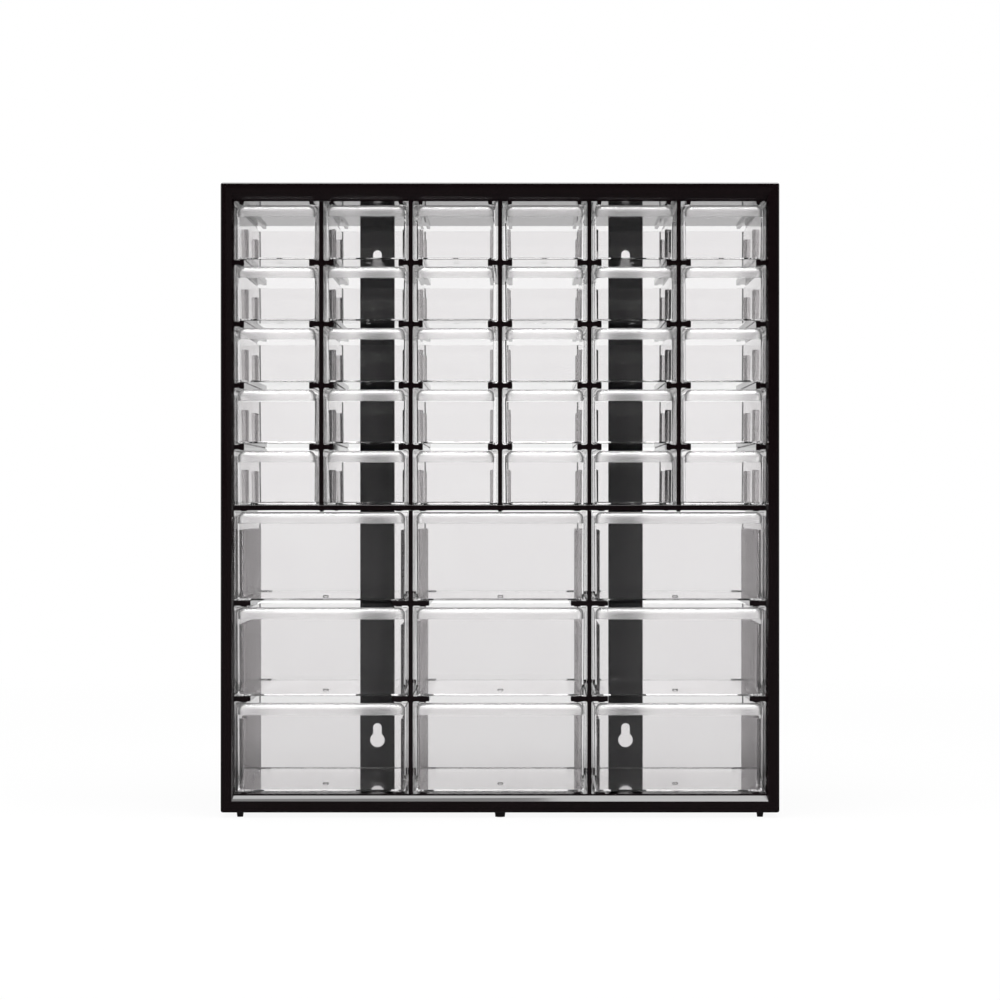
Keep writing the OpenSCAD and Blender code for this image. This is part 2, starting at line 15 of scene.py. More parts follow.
import bmesh
import bpy
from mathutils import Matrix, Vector

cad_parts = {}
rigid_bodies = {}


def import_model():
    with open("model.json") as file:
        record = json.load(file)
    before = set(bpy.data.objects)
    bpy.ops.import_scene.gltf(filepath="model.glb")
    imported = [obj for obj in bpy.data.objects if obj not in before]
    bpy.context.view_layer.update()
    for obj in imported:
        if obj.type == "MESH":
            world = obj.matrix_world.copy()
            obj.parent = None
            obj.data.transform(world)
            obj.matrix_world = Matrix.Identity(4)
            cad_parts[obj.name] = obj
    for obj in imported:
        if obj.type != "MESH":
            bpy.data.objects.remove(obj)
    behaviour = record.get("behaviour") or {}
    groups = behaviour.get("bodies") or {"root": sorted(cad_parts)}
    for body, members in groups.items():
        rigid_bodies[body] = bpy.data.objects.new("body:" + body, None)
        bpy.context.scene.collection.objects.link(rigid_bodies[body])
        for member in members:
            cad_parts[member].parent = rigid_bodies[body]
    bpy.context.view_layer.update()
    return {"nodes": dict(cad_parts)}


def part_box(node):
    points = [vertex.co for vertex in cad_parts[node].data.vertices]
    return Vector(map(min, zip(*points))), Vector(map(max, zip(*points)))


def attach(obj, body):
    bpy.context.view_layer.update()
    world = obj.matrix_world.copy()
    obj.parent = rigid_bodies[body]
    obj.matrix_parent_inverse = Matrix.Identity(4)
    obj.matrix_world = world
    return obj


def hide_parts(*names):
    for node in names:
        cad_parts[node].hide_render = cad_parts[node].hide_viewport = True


LOG = logging.getLogger("cabinet")
MM = 0.001
NEAR = 0.00001  # places closer together than this count as one
QUARTER = math.radians(90)
STEEP = 0.9  # a face looks along an axis when its normal has more than this of it
FLAT_DOWN = 0.99  # the same for a face that must look down squarely
FaceTest = Callable[[Vector, Vector], bool]
EdgeTest = Callable[[Vector, Vector], bool]
Point = tuple[float, float, float]
Socket = bpy.types.NodeSocket


# ---- Bench tools ------------------------------------------------------------------------------


def clear_selection() -> None:
    """Leave nothing selected and no object in edit mode."""
    active = bpy.context.view_layer.objects.active
    if active is not None and active.mode != "OBJECT":
        bpy.ops.object.mode_set(mode="OBJECT")
    for thing in bpy.context.view_layer.objects:
        thing.select_set(False)


def take_up(piece: bpy.types.Object) -> None:
    """Make a piece the only selected and active one."""
    clear_selection()
    piece.select_set(True)
    bpy.context.view_layer.objects.active = piece


@contextmanager
def editing(piece: bpy.types.Object, kind: str = "FACE") -> Iterator[None]:
    """Open a piece in edit mode with nothing selected, and close it again.

    Args:
        piece: The mesh object to work on.
        kind: What is picked: VERT, EDGE or FACE.
    """
    take_up(piece)
    bpy.ops.object.mode_set(mode="EDIT")
    bpy.ops.mesh.select_mode(type=kind)
    bpy.ops.mesh.select_all(action="DESELECT")
    try:
        yield
    finally:
        bpy.ops.object.mode_set(mode="OBJECT")


def pick_faces(piece: bpy.types.Object, wanted: FaceTest) -> None:
    """Select the faces that pass a test, in edit mode.

    Args:
        piece: The mesh object in edit mode.
        wanted: Test of a face's centre and normal.
    """
    mesh = bmesh.from_edit_mesh(piece.data)
    mesh.normal_update()
    for face in mesh.faces:
        face.select_set(wanted(face.calc_center_median(), face.normal))
    mesh.select_flush_mode()
    bmesh.update_edit_mesh(piece.data)


def pick_edges(piece: bpy.types.Object, wanted: EdgeTest) -> int:
    """Select the edges that pass a test, in edit mode.

    Args:
        piece: The mesh object in edit mode.
        wanted: Test of the places of an edge's two ends.

    Returns:
        How many edges are selected.
    """
    mesh = bmesh.from_edit_mesh(piece.data)
    for edge in mesh.edges:
        edge.select_set(wanted(edge.verts[0].co, edge.verts[1].co))
    mesh.select_flush_mode()
    bmesh.update_edit_mesh(piece.data)
    return sum(edge.select for edge in mesh.edges)


def round_edges(piece: bpy.types.Object, wanted: EdgeTest, radius: float, steps: int = 3) -> None:
    """Round the edges that pass a test.

    Args:
        piece: The mesh object to work on.
        wanted: Test of the places of an edge's two ends.
        radius: Radius of the rounding.
        steps: Facets across the rounding.
    """
    with editing(piece, "EDGE"):
        if pick_edges(piece, wanted):
            bpy.ops.mesh.bevel(offset_type="OFFSET", offset=radius, segments=steps, profile=0.5,
                               affect="EDGES", clamp_overlap=True)


def add_block(name: str, low: Point, high: Point) -> bpy.types.Object:
    """Add a block between two corners, with its place in its mesh.

    Args:
        name: Name of the new piece.
        low: Lowest corner.
        high: Highest corner.

    Returns:
        The new mesh object.
    """
    clear_selection()
    middle = [(a + b) / 2 for a, b in zip(low, high)]
    bpy.ops.mesh.primitive_cube_add(size=1, location=middle)
    block = bpy.context.object
    block.name = name
    block.scale = [b - a for a, b in zip(low, high)]
    bpy.ops.object.transform_apply(location=True, rotation=True, scale=True)
    return block


def add_rod(name: str, middle: Point, radius: float, depth: float, sides: int) -> bpy.types.Object:
    """Add an upright round rod, with its place in its mesh.

    Args:
        name: Name of the new piece.
        middle: Centre of the rod.
        radius: Radius of the rod.
        depth: Height of the rod.
        sides: Facets round it.

    Returns:
        The new mesh object.
    """
    clear_selection()
    bpy.ops.mesh.primitive_cylinder_add(vertices=sides, radius=radius, depth=depth, location=middle)
    rod = bpy.context.object
    rod.name = name
    bpy.ops.object.transform_apply(location=True, rotation=True, scale=True)
    return rod


def combine(target: bpy.types.Object, tool: bpy.types.Object, how: str) -> None:
    """Join a form to a piece or cut it out, and use the form up.

    Args:
        target: The piece that stays.
        tool: The form that is joined or cut out.
        how: UNION or DIFFERENCE.
    """
    take_up(target)
    step = target.modifiers.new("combine", "BOOLEAN")
    step.operation, step.object, step.solver = how, tool, "EXACT"
    bpy.ops.object.modifier_apply(modifier=step.name)
    bpy.data.objects.remove(tool)


def tidy_mesh(piece: bpy.types.Object, flat: float = 0.2) -> None:
    """Merge doubled points, join coplanar facets and point every face outwards.

    Args:
        piece: The mesh object to clean.
        flat: Largest angle in degrees between facets that become one.
    """
    with editing(piece):
        bpy.ops.mesh.select_all(action="SELECT")
        bpy.ops.mesh.remove_doubles(threshold=NEAR / 2)
        bpy.ops.mesh.dissolve_limited(angle_limit=math.radians(flat))
        bpy.ops.mesh.normals_make_consistent(inside=False)


def shade_soft(piece: bpy.types.Object, degrees: float) -> None:
    """Shade roundings smooth and keep the broad faces between them flat.

    Args:
        piece: The mesh object to shade.
        degrees: Largest angle between facets that are shaded as one surface.
    """
    take_up(piece)
    bpy.ops.object.shade_smooth_by_angle(angle=math.radians(degrees))
    flats = piece.modifiers.new("flat_faces", "WEIGHTED_NORMAL")
    flats.mode, flats.weight, flats.keep_sharp = "FACE_AREA", 100, True
    bpy.ops.object.modifier_apply(modifier=flats.name)


def copy_to(piece: bpy.types.Object, name: str, shift: Vector) -> bpy.types.Object:
    """Copy a piece with a mesh of its own, moved inside that mesh.

    Args:
        piece: The piece to copy.
        name: Name of the copy.
        shift: How far the copy is moved.

    Returns:
        The copy.
    """
    twin = bpy.data.objects.new(name, piece.data.copy())
    twin.data.name = name
    bpy.context.scene.collection.objects.link(twin)
    with editing(twin, "VERT"):
        bpy.ops.mesh.select_all(action="SELECT")
        bpy.ops.transform.translate(value=shift)
    return twin


# ---- Finishes ---------------------------------------------------------------------------------


class Wiring:
    """A small helper that lays out and links the nodes of one shader."""

    def __init__(self, owner: bpy.types.Material | bpy.types.World) -> None:
        """Start an empty node tree on a material or world."""
        owner.use_nodes = True
        self.tree = owner.node_tree
        self.tree.nodes.clear()

    def node(self, kind: str, **values: object) -> bpy.types.Node:
        """Add a node and set its properties or inputs.

        Args:
            kind: Type name of the node.
            values: Node properties, or input values by name with spaces as underscores.

        Returns:
            The new node.
        """
        made = self.tree.nodes.new(kind)
        for key, value in values.items():
            if hasattr(made, key):
                setattr(made, key, value)
            else:
                made.inputs[key.replace("_", " ")].default_value = value
        return made

    def link(self, source: Socket, target: Socket) -> None:
        """Link an output to an input."""
        self.tree.links.new(source, target)

    def maths(self, how: str, a: Socket | float, b: Socket | float) -> Socket:
        """Work out one sum from two sockets or numbers.

        Args:
            how: Operation of the Math node.
            a: First value.
            b: Second value.

        Returns:
            The socket with the result.
        """
        step = self.node("ShaderNodeMath", operation=how)
        for place, value in enumerate((a, b)):
            if isinstance(value, (int, float)):
                step.inputs[place].default_value = value
            else:
                self.link(value, step.inputs[place])
        return step.outputs[0]

    def noise(self, size: float, detail: float, stretch: Point = (1, 1, 1)) -> Socket:
        """Add noise of a given grain on the piece's own coordinates.

        Args:
            size: Size of the grain in metres.
            detail: Octaves of finer grain.
            stretch: Scale of the pattern along each axis.

        Returns:
            The noise as a number about 0.5.
        """
        place = self.node("ShaderNodeTexCoord")
        turn = self.node("ShaderNodeMapping", Scale=stretch)
        grain = self.node("ShaderNodeTexNoise", Scale=1 / size, Detail=detail)
        self.link(place.outputs["Object"], turn.inputs["Vector"])
        self.link(turn.outputs["Vector"], grain.inputs["Vector"])
        return grain.outputs["Fac"]

    def ranged(self, value: Socket, span: tuple[float, float], result: tuple[float, float]) -> Socket:
        """Map a value from one range to another.

        Args:
            value: The value to map.
            span: Its lowest and highest value.
            result: What those become.

        Returns:
            The mapped value.
        """
        step = self.node("ShaderNodeMapRange", From_Min=span[0], From_Max=span[1],
                         To_Min=result[0], To_Max=result[1])
        self.link(value, step.inputs["Value"])
        return step.outputs["Result"]

    def blend(self, share: Socket, first: Point, second: Point) -> Socket:
        """Mix two colours.

        Args:
            share: How much of the second colour.
            first: Colour at 0.
            second: Colour at 1.

        Returns:
            The mixed colour.
        """
        mix = self.node("ShaderNodeMix", data_type="RGBA")
        share_in, first_in, second_in = (mix.inputs[place] for place in (0, 6, 7))
        first_in.default_value, second_in.default_value = (*first, 1.0), (*second, 1.0)
        self.link(share, share_in)
        return mix.outputs[2]

    def raised(self, relief: Socket, height: float) -> Socket:
        """Turn a relief into the tilt of the surface.

        Args:
            relief: The relief, from about 0 to 1.
            height: Its height in metres.

        Returns:
            The normal.
        """
        bump = self.node("ShaderNodeBump", Strength=1.0, Distance=height)
        self.link(relief, bump.inputs["Height"])
        return bump.outputs["Normal"]


class Polish(Enum):
    """How a black moulding comes out of its mould; the straps' colours also hold painted light."""

    OUTER = (0.09, 0.00003, (0.0040, 0.0018, 0.0022), (0.0070, 0.0040, 0.0048))
    INNER = (0.08, 0.00002, (0.0040, 0.0018, 0.0022), (0.0070, 0.0040, 0.0048))
    # Painted light: the straps' colours are paler than the other mouldings'. This lightens the straps
    # where they stand in shade behind the drawers.
    STRAP = (0.16, 0.00003, (0.0150, 0.0138, 0.0185), (0.0225, 0.0208, 0.0270))

    def __init__(self, rough: float, wave_height: float, dark: Point, pale: Point) -> None:
        """Name the values of one polish.

        Args:
            rough: Mean roughness.
            wave_height: Height of the faint waves.
            dark: Darkest colour of the plastic; for the straps it holds painted light.
            pale: Palest colour of the plastic; for the straps it holds painted light.
        """
        self.rough, self.wave_height, self.dark, self.pale = rough, wave_height, dark, pale


@dataclass(frozen=True)
class BlackPlastic:
    """Gloss black moulded plastic with faint waves, fine grain and rubbed patches."""

    polish: Polish
    index: float = 1.52
    patch: float = 0.045
    grain: float = 0.0006
    wave: float = 0.012
    grain_share: float = 0.3
    grain_height: float = 0.06
    usual_noise: tuple[float, float] = (0.3, 0.7)
    rough_share: tuple[float, float] = (0.75, 1.3)

    def material(self) -> bpy.types.Material:
        """Build the shader.

        Returns:
            The finished material.
        """
        made = bpy.data.materials.new(f"black_plastic_{self.polish.name.lower()}")
        wires = Wiring(made)
        base = wires.node("ShaderNodeBsdfPrincipled", IOR=self.index)
        out = wires.node("ShaderNodeOutputMaterial")
        wires.link(base.outputs["BSDF"], out.inputs["Surface"])
        patches = wires.noise(self.patch, detail=3.0)
        wires.link(wires.blend(patches, self.polish.dark, self.polish.pale), base.inputs["Base Color"])
        fine = wires.noise(self.grain, detail=4.0)
        mixed = wires.maths("ADD", wires.maths("MULTIPLY", patches, 1 - self.grain_share),
                            wires.maths("MULTIPLY", fine, self.grain_share))
        least, most = (share * self.polish.rough for share in self.rough_share)
        wires.link(wires.ranged(mixed, self.usual_noise, (least, most)), base.inputs["Roughness"])
        waves = wires.noise(self.wave, detail=1.0)
        relief = wires.maths("ADD", waves, wires.maths("MULTIPLY", fine, self.grain_height))
        wires.link(wires.raised(relief, self.polish.wave_height), base.inputs["Normal"])
        return made


class Surface(Enum):
    """How clear plastic leaves its mould."""

    POLISHED = (0.988, (0.012, 0.05), 1.0)
    GRIP = (0.81, (0.18, 0.24), 1.0)
    RIBBED = (0.988, (0.03, 0.07), 0.3)

    def __init__(self, through: float, rough: tuple[float, float], mirror: float) -> None:
        """Name the values of one surface.

        Args:
            through: Share of the light that is let through and not scattered.
            rough: Least and greatest roughness.
            mirror: Strength of its reflection, face on.
        """
        self.through, self.rough, self.mirror = through, rough, mirror


@dataclass(frozen=True)
class ClearPlastic:
    """Clear moulded polystyrene with faint flow waves and a breath of haze."""

    surface: Surface
    tint: Point = (0.998, 0.989, 0.991)
    hazy: Point = (0.988, 0.976, 0.980)
    index: float = 1.57
    flow: float = 0.035
    flow_stretch: Point = (1.0, 0.35, 1.0)
    flow_height: float = 0.000012
    tinted_flow: tuple[float, float] = (0.35, 0.75)
    rough_flow: tuple[float, float] = (0.4, 0.75)

    def material(self) -> bpy.types.Material:
        """Build the shader.

        Returns:
            The finished material.
        """
        made = bpy.data.materials.new(f"clear_plastic_{self.surface.name.lower()}")
        wires = Wiring(made)
        mirror = (self.surface.mirror,) * 3
        base = wires.node("ShaderNodeBsdfPrincipled", IOR=self.index, Specular_Tint=(*mirror, 1.0),
                          Transmission_Weight=self.surface.through)
        out = wires.node("ShaderNodeOutputMaterial")
        wires.link(base.outputs["BSDF"], out.inputs["Surface"])
        flow = wires.noise(self.flow, detail=2.0, stretch=self.flow_stretch)
        haze = wires.ranged(flow, self.tinted_flow, (0.0, 1.0))
        wires.link(wires.blend(haze, self.tint, self.hazy), base.inputs["Base Color"])
        wires.link(wires.ranged(flow, self.rough_flow, self.surface.rough), base.inputs["Roughness"])
        wires.link(wires.raised(flow, self.flow_height), base.inputs["Normal"])
        return made


# ---- Drawers ----------------------------------------------------------------------------------


@dataclass(frozen=True)
class DrawerMould:
    """One clear drawer: an open tray with a wider front plate, a pull lip and divider slots.

    It is modelled with its front plate at y = 0 and its underside at z = 0.
    """

    name: str
    plate_w: float
    plate_h: float
    length: float
    slots: tuple[float, ...]
    rib_reach: float
    gate_back: float
    side_step: float = 1.45 * MM
    lip_out: float = 5.2 * MM
    lip_h: float = 7.6 * MM
    lip_t: float = 1.3 * MM
    lip_r: float = 4.4 * MM
    lip_margin: float = 2.1 * MM
    lip_foot_r: float = 0.25 * MM
    plate_t: float = 1.5 * MM
    plate_corner_r: float = 0.9 * MM
    plate_front_r: float = 0.35 * MM
    plate_back_r: float = 0.2 * MM
    wall_t: float = 1.2 * MM
    floor_t: float = 1.2 * MM
    rear_drop: float = 2.9 * MM
    draft: float = 0.4 * MM
    bottom_r: float = 1.8 * MM
    rear_share: float = 0.75
    rim_r: float = 0.28 * MM
    slot_w: float = 1.6 * MM
    slot_rib_t: float = 1.4 * MM
    slot_tip_t: float = 0.8 * MM
    slot_drop: float = 12.0 * MM
    slot_bevel: float = 0.8 * MM
    slot_tip_r: float = 0.3 * MM
    gate_r: float = 2.0 * MM
    gate_depth: float = 0.5 * MM
    gate_rise: float = 0.9 * MM
    gate_edge_r: float = 0.3 * MM
    gate_sides: int = 28
    gate_tip_r: float = 0.55 * MM
    gate_tip_h: float = 0.7 * MM
    dome_share: float = 0.7
    mark_share: float = 0.8
    tip_sides: int = 16
    tip_inset: float = 0.2 * MM
    tip_sink: float = 0.05 * MM
    smooth_angle: float = 32.0
    grip_start: float = 0.3 * MM
    rib_foot: float = 0.2 * MM
    rib_share: float = 0.8

    @property
    def body_w(self) -> float:
        """Width of the tray behind the front plate."""
        return self.plate_w - 2 * self.side_step

    @property
    def body_h(self) -> float:
        """Height of the side and rear walls."""
        return self.plate_h - self.rear_drop

    @property
    def rib_tip(self) -> float:
        """Distance of the ribs' tips from the middle of the drawer."""
        return self.body_w / 2 - self.wall_t - self.draft - self.rib_reach

    @property
    def rib_head(self) -> float:
        """Height of the ribs' heads."""
        return self.plate_h - self.slot_drop

    def surface_at(self, spot: Vector) -> Surface:
        """Tell which surface of the mould a face belongs to.

        Args:
            spot: Centre of the face.

        Returns:
            The surface there.
        """
        if spot.y < -self.grip_start:
            return Surface.GRIP
        root = self.rib_tip + self.rib_share * self.rib_reach
        inside = self.plate_t + MM < spot.y < self.length - self.wall_t - MM
        standing = self.floor_t + self.rib_foot < spot.z < self.rib_head + NEAR
        if inside and standing and self.rib_tip - NEAR < abs(spot.x) < root:
            return Surface.RIBBED
        return Surface.POLISHED

    def _leaning_block(self, name: str, half_w: float, y: tuple[float, float], z: tuple[float, float],
                       corner: float) -> bpy.types.Object:
        """Make a block that narrows towards its foot, with rounded foot and rear edges.

        Args:
            name: Name of the block.
            half_w: Half of its width at its head.
            y: Its front and rear end.
            z: Its foot and head.
            corner: Radius of its foot edges; its rear edges get less.

        Returns:
            The block.
        """
        block = add_block(name, (-half_w, y[0], z[0]), (half_w, y[1], z[1]))
        with editing(block):
            pick_faces(block, lambda centre, normal: normal.z < -STEEP)
            foot = (half_w - self.draft) / half_w
            bpy.ops.transform.resize(value=(foot, 1, 1))
        rear, low = y[1] - NEAR, z[0] + NEAR
        round_edges(block, lambda a, b: min(a.y, b.y) > rear and abs(a.z - b.z) > MM,
                    corner * self.rear_share, steps=4)
        round_edges(block, lambda a, b: max(a.z, b.z) < low
                    and (max(a.y, b.y) > rear - corner or abs(a.y - b.y) > MM), corner, steps=5)
        return block

    def _tray(self) -> bpy.types.Object:
        """Hollow out the tray and soften its rim.

        Returns:
            The tray, open at the front where the plate closes it.
        """
        half = self.body_w / 2
        tray = self._leaning_block(f"{self.name}_tray", half, (self.plate_t / 2, self.length),
                                   (0, self.body_h), self.bottom_r)
        hollow = self._leaning_block("hollow", half - self.wall_t, (-MM, self.length - self.wall_t),
                                     (self.floor_t, self.body_h + MM), self.bottom_r - self.wall_t / 2)
        combine(tray, hollow, "DIFFERENCE")
        tidy_mesh(tray)
        rim, front = self.body_h - NEAR, self.plate_t
        round_edges(tray, lambda a, b: min(a.z, b.z) > rim and max(a.y, b.y) > front, self.rim_r,
                    steps=2)
        return tray

    def _gate(self, tray: bpy.types.Object) -> None:
        """Sink the gate mark into the underside of the floor, under a low dome, and leave a tip in it.

        Args:
            tray: The tray to mark.
        """
        dome = add_rod("dome", (0, self.gate_back, self.floor_t), self.gate_r, 2 * self.gate_rise,
                       self.gate_sides)
        round_edges(dome, lambda a, b: min(a.z, b.z) > self.floor_t, self.dome_share * self.gate_rise,
                    steps=4)
        combine(tray, dome, "UNION")
        mark = add_rod("gate", (0, self.gate_back, 0), self.gate_r * self.mark_share,
                       2 * self.gate_depth, self.gate_sides)
        round_edges(mark, lambda a, b: min(a.z, b.z) > self.gate_depth - NEAR, self.gate_edge_r,
                    steps=3)
        combine(tray, mark, "DIFFERENCE")
        tip = add_rod("tip", (0, self.gate_back, self.gate_depth), self.gate_tip_r, self.gate_tip_h,
                      self.tip_sides)
        with editing(tip):
            pick_faces(tip, lambda centre, normal: normal.z < -STEEP)
            bpy.ops.mesh.inset(thickness=self.tip_inset, depth=self.tip_sink)
        combine(tray, tip, "UNION")

    def _plate(self) -> bpy.types.Object:
        """Make the front plate with rounded corners and softened edges.

        Returns:
            The plate.
        """
        half = self.plate_w / 2
        plate = add_block(f"{self.name}_plate", (-half, 0, 0), (half, self.plate_t, self.plate_h))
        round_edges(plate, lambda a, b: abs(a.y - b.y) > MM, self.plate_corner_r, steps=4)
        round_edges(plate, lambda a, b: max(a.y, b.y) < NEAR, self.plate_front_r, steps=3)
        round_edges(plate, lambda a, b: min(a.y, b.y) > self.plate_t - NEAR, self.plate_back_r,
                    steps=2)
        return plate

    def _lip(self) -> bpy.types.Object:
        """Roll the pull lip: out from the plate, over a rounded edge, down, and back at both ends.

        Returns:
            The lip, with its roots sunk into the plate.
        """
        half = self.plate_w / 2 - self.lip_margin - self.lip_out
        out, top = self.lip_out - self.lip_r, self.plate_h
        lip = add_block(f"{self.name}_lip", (-half, -out, top - self.lip_t), (half, 0, top))
        with editing(lip):
            pick_faces(lip, lambda centre, normal: normal.y < -STEEP)
            bpy.ops.mesh.spin(steps=8, angle=-QUARTER, center=(0, -out, top - self.lip_r), axis=(1, 0, 0))
            inner = self.lip_t - self.lip_out
            pick_faces(lip, lambda centre, normal: normal.z < -FLAT_DOWN and centre.y < inner)
            down = (0, 0, self.lip_r - self.lip_h)
            bpy.ops.mesh.extrude_region_move(TRANSFORM_OT_translate={"value": down})
        for side in (1, -1):
            with editing(lip):
                pick_faces(lip, lambda centre, normal: side * normal.x > STEEP
                           and side * centre.x > half - NEAR)
                bpy.ops.mesh.spin(steps=10, angle=-side * QUARTER, center=(side * half, 0, 0),
                                  axis=(0, 0, 1))
        with editing(lip):
            bpy.ops.mesh.select_all(action="SELECT")
            bpy.ops.mesh.remove_doubles(threshold=NEAR)
            bpy.ops.mesh.normals_make_consistent(inside=False)
            pick_faces(lip, lambda centre, normal: normal.y > STEEP and centre.y > -NEAR)
            inwards = (0, self.plate_t / 2, 0)
            bpy.ops.mesh.extrude_region_move(TRANSFORM_OT_translate={"value": inwards})
        foot = top - self.lip_h + NEAR
        round_edges(lip, lambda a, b: max(a.z, b.z) < foot and min(a.y, b.y) < -NEAR
                    and abs(a.y) + abs(b.y) > NEAR, self.lip_foot_r, steps=2)
        return lip

    def _ribs(self) -> bpy.types.Object:
        """Stand a pair of ribs on both walls at each divider slot.

        Returns:
            All ribs as one form, with their roots sunk into walls and floor.
        """
        root = self.body_w / 2 - self.wall_t / 2 - self.draft
        tip, head = self.rib_tip, self.rib_head
        step = (self.slot_w + self.slot_rib_t) / 2
        shape: bpy.types.Object | None = None
        for middle in (place * self.length + side * step for place in self.slots for side in (-1, 1)):
            y = (middle - self.slot_rib_t / 2, middle + self.slot_rib_t / 2)
            rib = add_block("rib", (tip, y[0], self.floor_t / 2), (root, y[1], head))
            with editing(rib):
                pick_faces(rib, lambda centre, normal: normal.x < -STEEP)
                bpy.ops.transform.resize(value=(1, self.slot_tip_t / self.slot_rib_t, 1))
            round_edges(rib, lambda a, b: max(a.x, b.x) < tip + NEAR and min(a.z, b.z) > head - NEAR,
                        self.slot_bevel, steps=3)
            round_edges(rib, lambda a, b: max(a.x, b.x) < tip + NEAR and abs(a.z - b.z) > MM,
                        self.slot_tip_r, steps=3)
            if shape is None:
                shape = rib
            else:
                take_up(shape)
                rib.select_set(True)
                bpy.ops.object.join()
        take_up(shape)
        twins = shape.modifiers.new("both_walls", "MIRROR")
        twins.use_axis[0] = True
        bpy.ops.object.modifier_apply(modifier=twins.name)
        shape.name = f"{self.name}_ribs"
        return shape

    def build(self) -> bpy.types.Object:
        """Model the whole drawer.

        Returns:
            One closed mesh.
        """
        front = self._plate()
        combine(front, self._lip(), "UNION")
        drawer = self._tray()
        self._gate(drawer)
        combine(drawer, self._ribs(), "UNION")
        combine(drawer, front, "UNION")
        tidy_mesh(drawer)
        shade_soft(drawer, self.smooth_angle)
        drawer.name = f"{self.name}_master"
        return drawer

    def dress(self, drawer: bpy.types.Object, finishes: dict[Surface, bpy.types.Material]) -> None:
        """Give each face of the drawer the finish of its surface.

        Args:
            drawer: The drawer that this mould built.
            finishes: Clear plastic of every surface.
        """
        order = list(Surface)
        drawer.data.materials.clear()
        for surface in order:
            drawer.data.materials.append(finishes[surface])
        for face in drawer.data.polygons:
            face.material_index = order.index(self.surface_at(face.center))


@dataclass
class DrawerBank:
    """A grid of equal drawers, each on a body of its own."""

    stem: str
    rows: int
    columns: int
    slots: tuple[float, ...]
    rib_reach: float
    gate_back: float
    pieces: list[bpy.types.Object] = field(default_factory=list)

    def _names(self) -> list[str]:
        """Names of the drawers, row by row."""
        return [f"{self.stem}_r{row}_c{column}" for row in range(1, self.rows + 1)
                for column in range(1, self.columns + 1)]

    def build(self, finishes: dict[Surface, bpy.types.Material]) -> None:
        """Model one drawer to the size of the first node, dress it, and copy it to every place.

        Args:
            finishes: Clear plastic of every surface.
        """
        names = self._names()
        low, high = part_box(names[0])
        length = high.y - low.y - DrawerMould.lip_out
        sizes = DrawerMould(self.stem, high.x - low.x, high.z - low.z, length,
                            self.slots, self.rib_reach, self.gate_back)
        master = sizes.build()
        sizes.dress(master, finishes)
        for name in names:
            low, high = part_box(name)
            place = Vector(((low.x + high.x) / 2, low.y + sizes.lip_out, low.z))
            self.pieces.append(copy_to(master, f"{name}_clear", place))
        bpy.data.objects.remove(master)
        LOG.info("%s: %d drawers of %d faces", self.stem, len(names), len(self.pieces[0].data.polygons))

    def mount(self) -> None:
        """Put every drawer on its body."""
        for name, piece in zip(self._names(), self.pieces):
            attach(piece, name)
            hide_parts(name)


# ---- Housing ----------------------------------------------------------------------------------


@dataclass
class Moulding:
    """One black moulding of the housing, taken from its node and given softly broken edges."""

    node: str
    polish: Polish
    edge_r: float = 0.22 * MM
    longest_kept: float = 3.0 * MM
    sharpest_kept: float = 60.0
    flat_angle: float = 0.3
    smooth_angle: float = 35.0
    piece: bpy.types.Object | None = None

    def _sharp_long_edges(self) -> int:
        """Select the long outward edges of the open piece.

        Returns:
            How many edges are selected.
        """
        mesh = bmesh.from_edit_mesh(self.piece.data)
        mesh.normal_update()
        kept = math.radians(self.sharpest_kept)
        for edge in mesh.edges:
            faces = edge.link_faces
            edge.select_set(len(faces) == 2 and edge.is_convex and edge.calc_length() > self.longest_kept
                            and faces[0].normal.angle(faces[1].normal, 0) > kept)
        mesh.select_flush_mode()
        bmesh.update_edit_mesh(self.piece.data)
        return sum(edge.select for edge in mesh.edges)

    def build(self, nodes: dict[str, bpy.types.Object]) -> None:
        """Copy the node's mesh, merge it and break its edges.

        Args:
            nodes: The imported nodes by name.
        """
        shape = bpy.data.objects.new(f"{self.node}_moulded", nodes[self.node].data.copy())
        bpy.context.scene.collection.objects.link(shape)
        self.piece = shape
        with editing(shape):
            bpy.ops.mesh.select_all(action="SELECT")
            bpy.ops.mesh.remove_doubles(threshold=NEAR / 5)
            bpy.ops.mesh.dissolve_limited(angle_limit=math.radians(self.flat_angle))
        with editing(shape, "EDGE"):
            if self._sharp_long_edges():
                bpy.ops.mesh.bevel(offset_type="OFFSET", offset=self.edge_r, segments=2, profile=0.5,
                                   affect="EDGES", clamp_overlap=False)
        shade_soft(shape, self.smooth_angle)
        LOG.info("%s: %d faces", shape.name, len(shape.data.polygons))

    def dress(self, finish: bpy.types.Material) -> None:
        """Give the moulding its finish and put it on the housing.

        Args:
            finish: The black plastic of its polish.
        """
        self.piece.data.materials.clear()
        self.piece.data.materials.append(finish)
        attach(self.piece, "housing")
        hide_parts(self.node)


@dataclass
class Housing:
    """The black housing: outer shell, inner panels, partitions, straps and feet."""

    outer: tuple[str, ...] = ("housing_shell", "stacking_feet")
    straps: tuple[str, ...] = ("rear_strap_left", "rear_strap_right")
    mouldings: list[Moulding] = field(default_factory=list)

    def _polish_of(self, name: str) -> Polish:
        """Tell how a moulding is finished.

        Args:
            name: Name of its node.

        Returns:
            Its polish.
        """
        if name in self.outer:
            return Polish.OUTER
        return Polish.STRAP if name in self.straps else Polish.INNER

    def build(self, nodes: dict[str, bpy.types.Object]) -> None:
        """Build every black moulding.

        Args:
            nodes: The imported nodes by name.
        """
        for name in sorted(nodes):
            if "drawer" in name:
                continue
            moulding = Moulding(name, self._polish_of(name))
            moulding.build(nodes)
            self.mouldings.append(moulding)

    def dress(self) -> None:
        """Finish every moulding with the plastic of its polish."""
        finishes = {polish: BlackPlastic(polish).material() for polish in Polish}
        for moulding in self.mouldings:
            moulding.dress(finishes[moulding.polish])


# ---- Studio -----------------------------------------------------------------------------------


